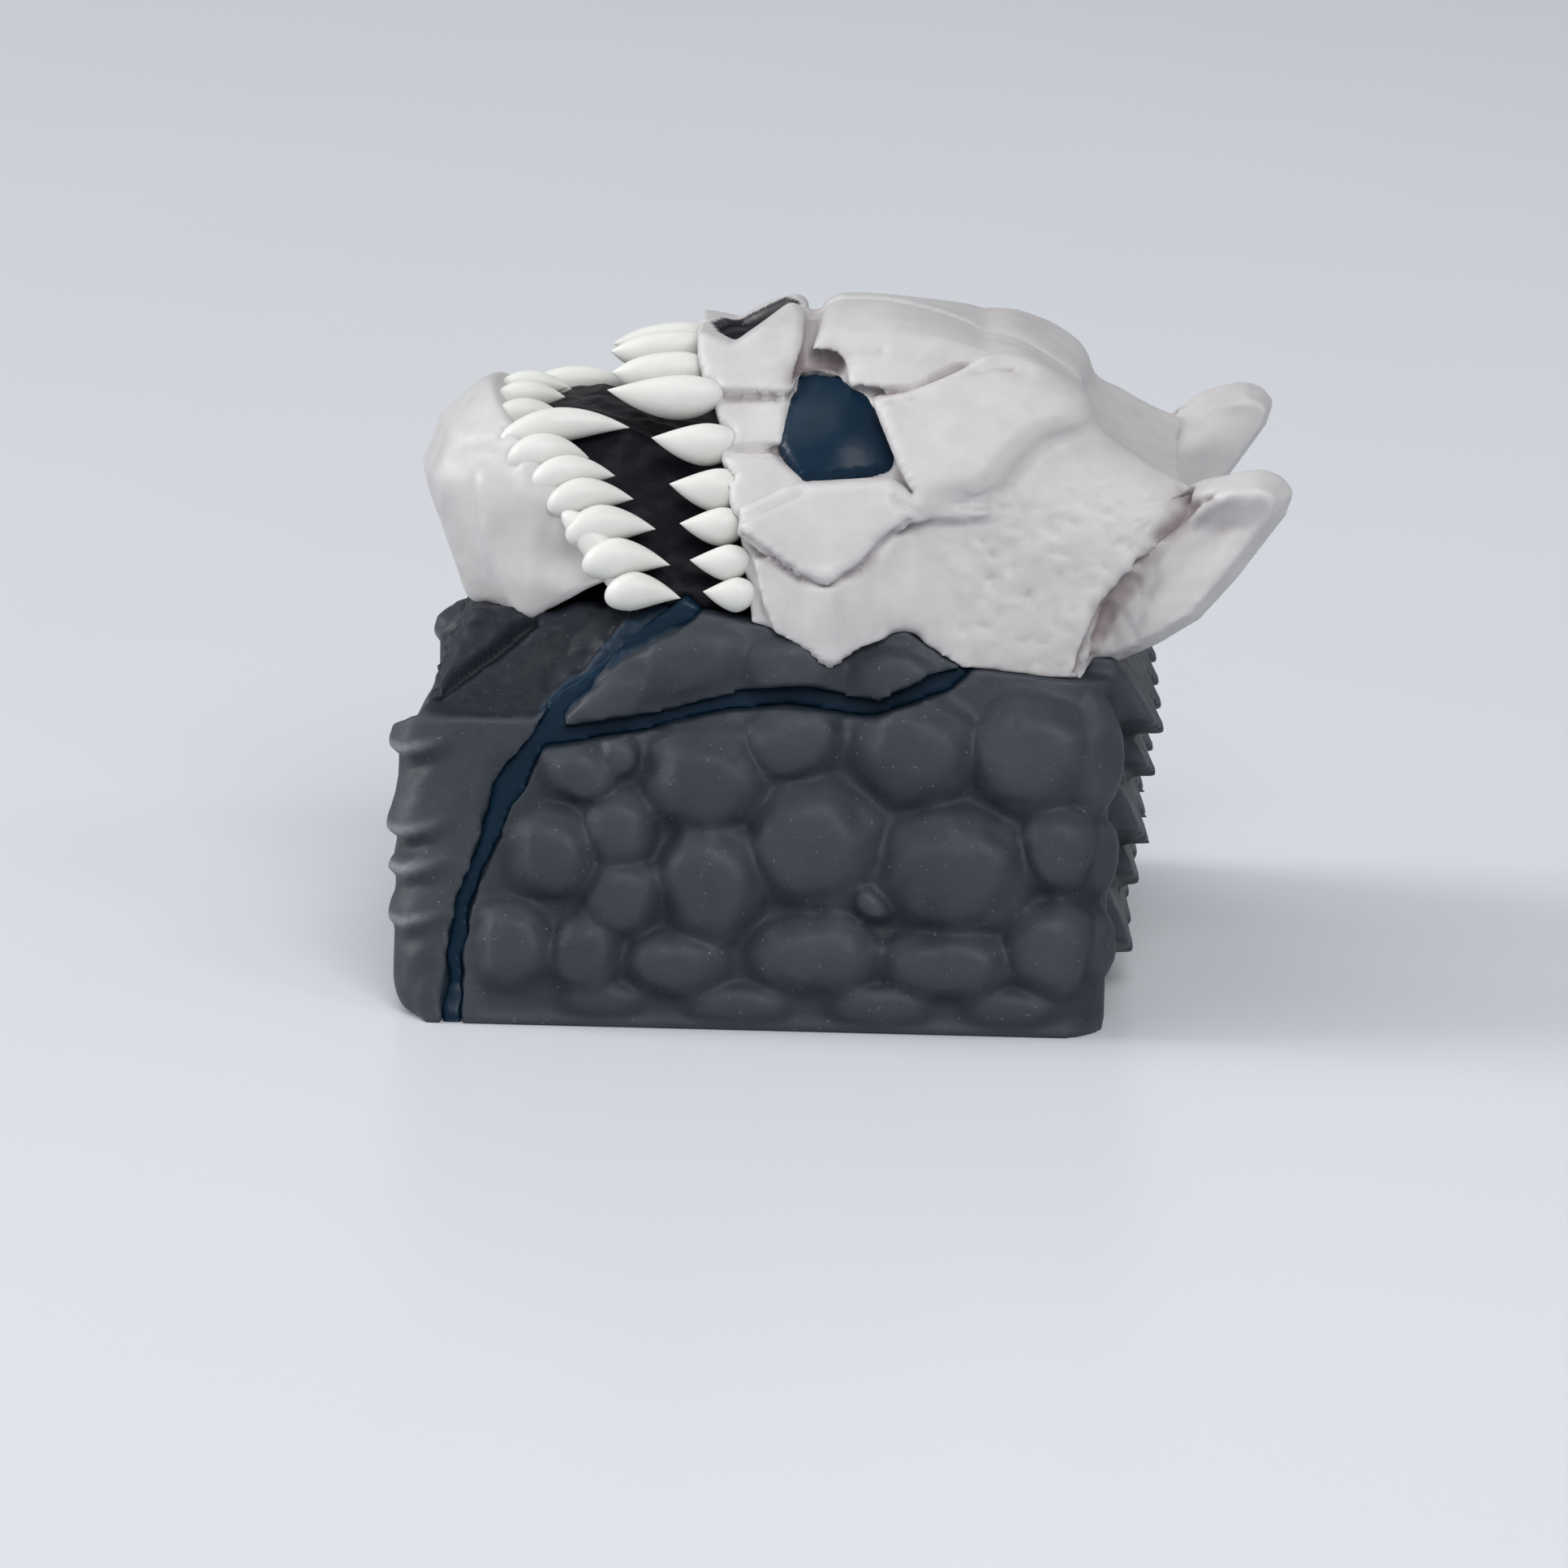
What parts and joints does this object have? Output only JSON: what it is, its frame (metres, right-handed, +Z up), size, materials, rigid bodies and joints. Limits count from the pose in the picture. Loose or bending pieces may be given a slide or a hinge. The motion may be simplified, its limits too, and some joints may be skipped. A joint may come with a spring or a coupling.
{
  "type": "artisan keycap",
  "caption": "Square keycap cast as a horned beast skull with open jaws, on a dark base of pebbled scales split by navy cracks, with a cross-socket stem in a hollow underside.",
  "frame": {"origin": "on the stem axis, in the plane of the bottom rim", "axes": "+Z up out of the keyboard, -X towards the chin, +X towards the horns, -Y towards the side seen in the picture"},
  "size_m": [0.0227, 0.018, 0.0171],
  "materials": {
    "shell": "satin cast resin",
    "navy": "gloss cast resin",
    "bone": "satin cast resin, faintly mottled",
    "tooth": "satin cast resin",
    "black": "gloss cast resin"
  },
  "bodies": {
    "root": {"base": "shell", "crack_inlay": "navy", "skull": "bone", "lower_jaw": "bone", "eyes": "navy", "upper_teeth": "tooth", "lower_teeth": "tooth", "mouth_lining": "black"}
  },
  "joints": []
}
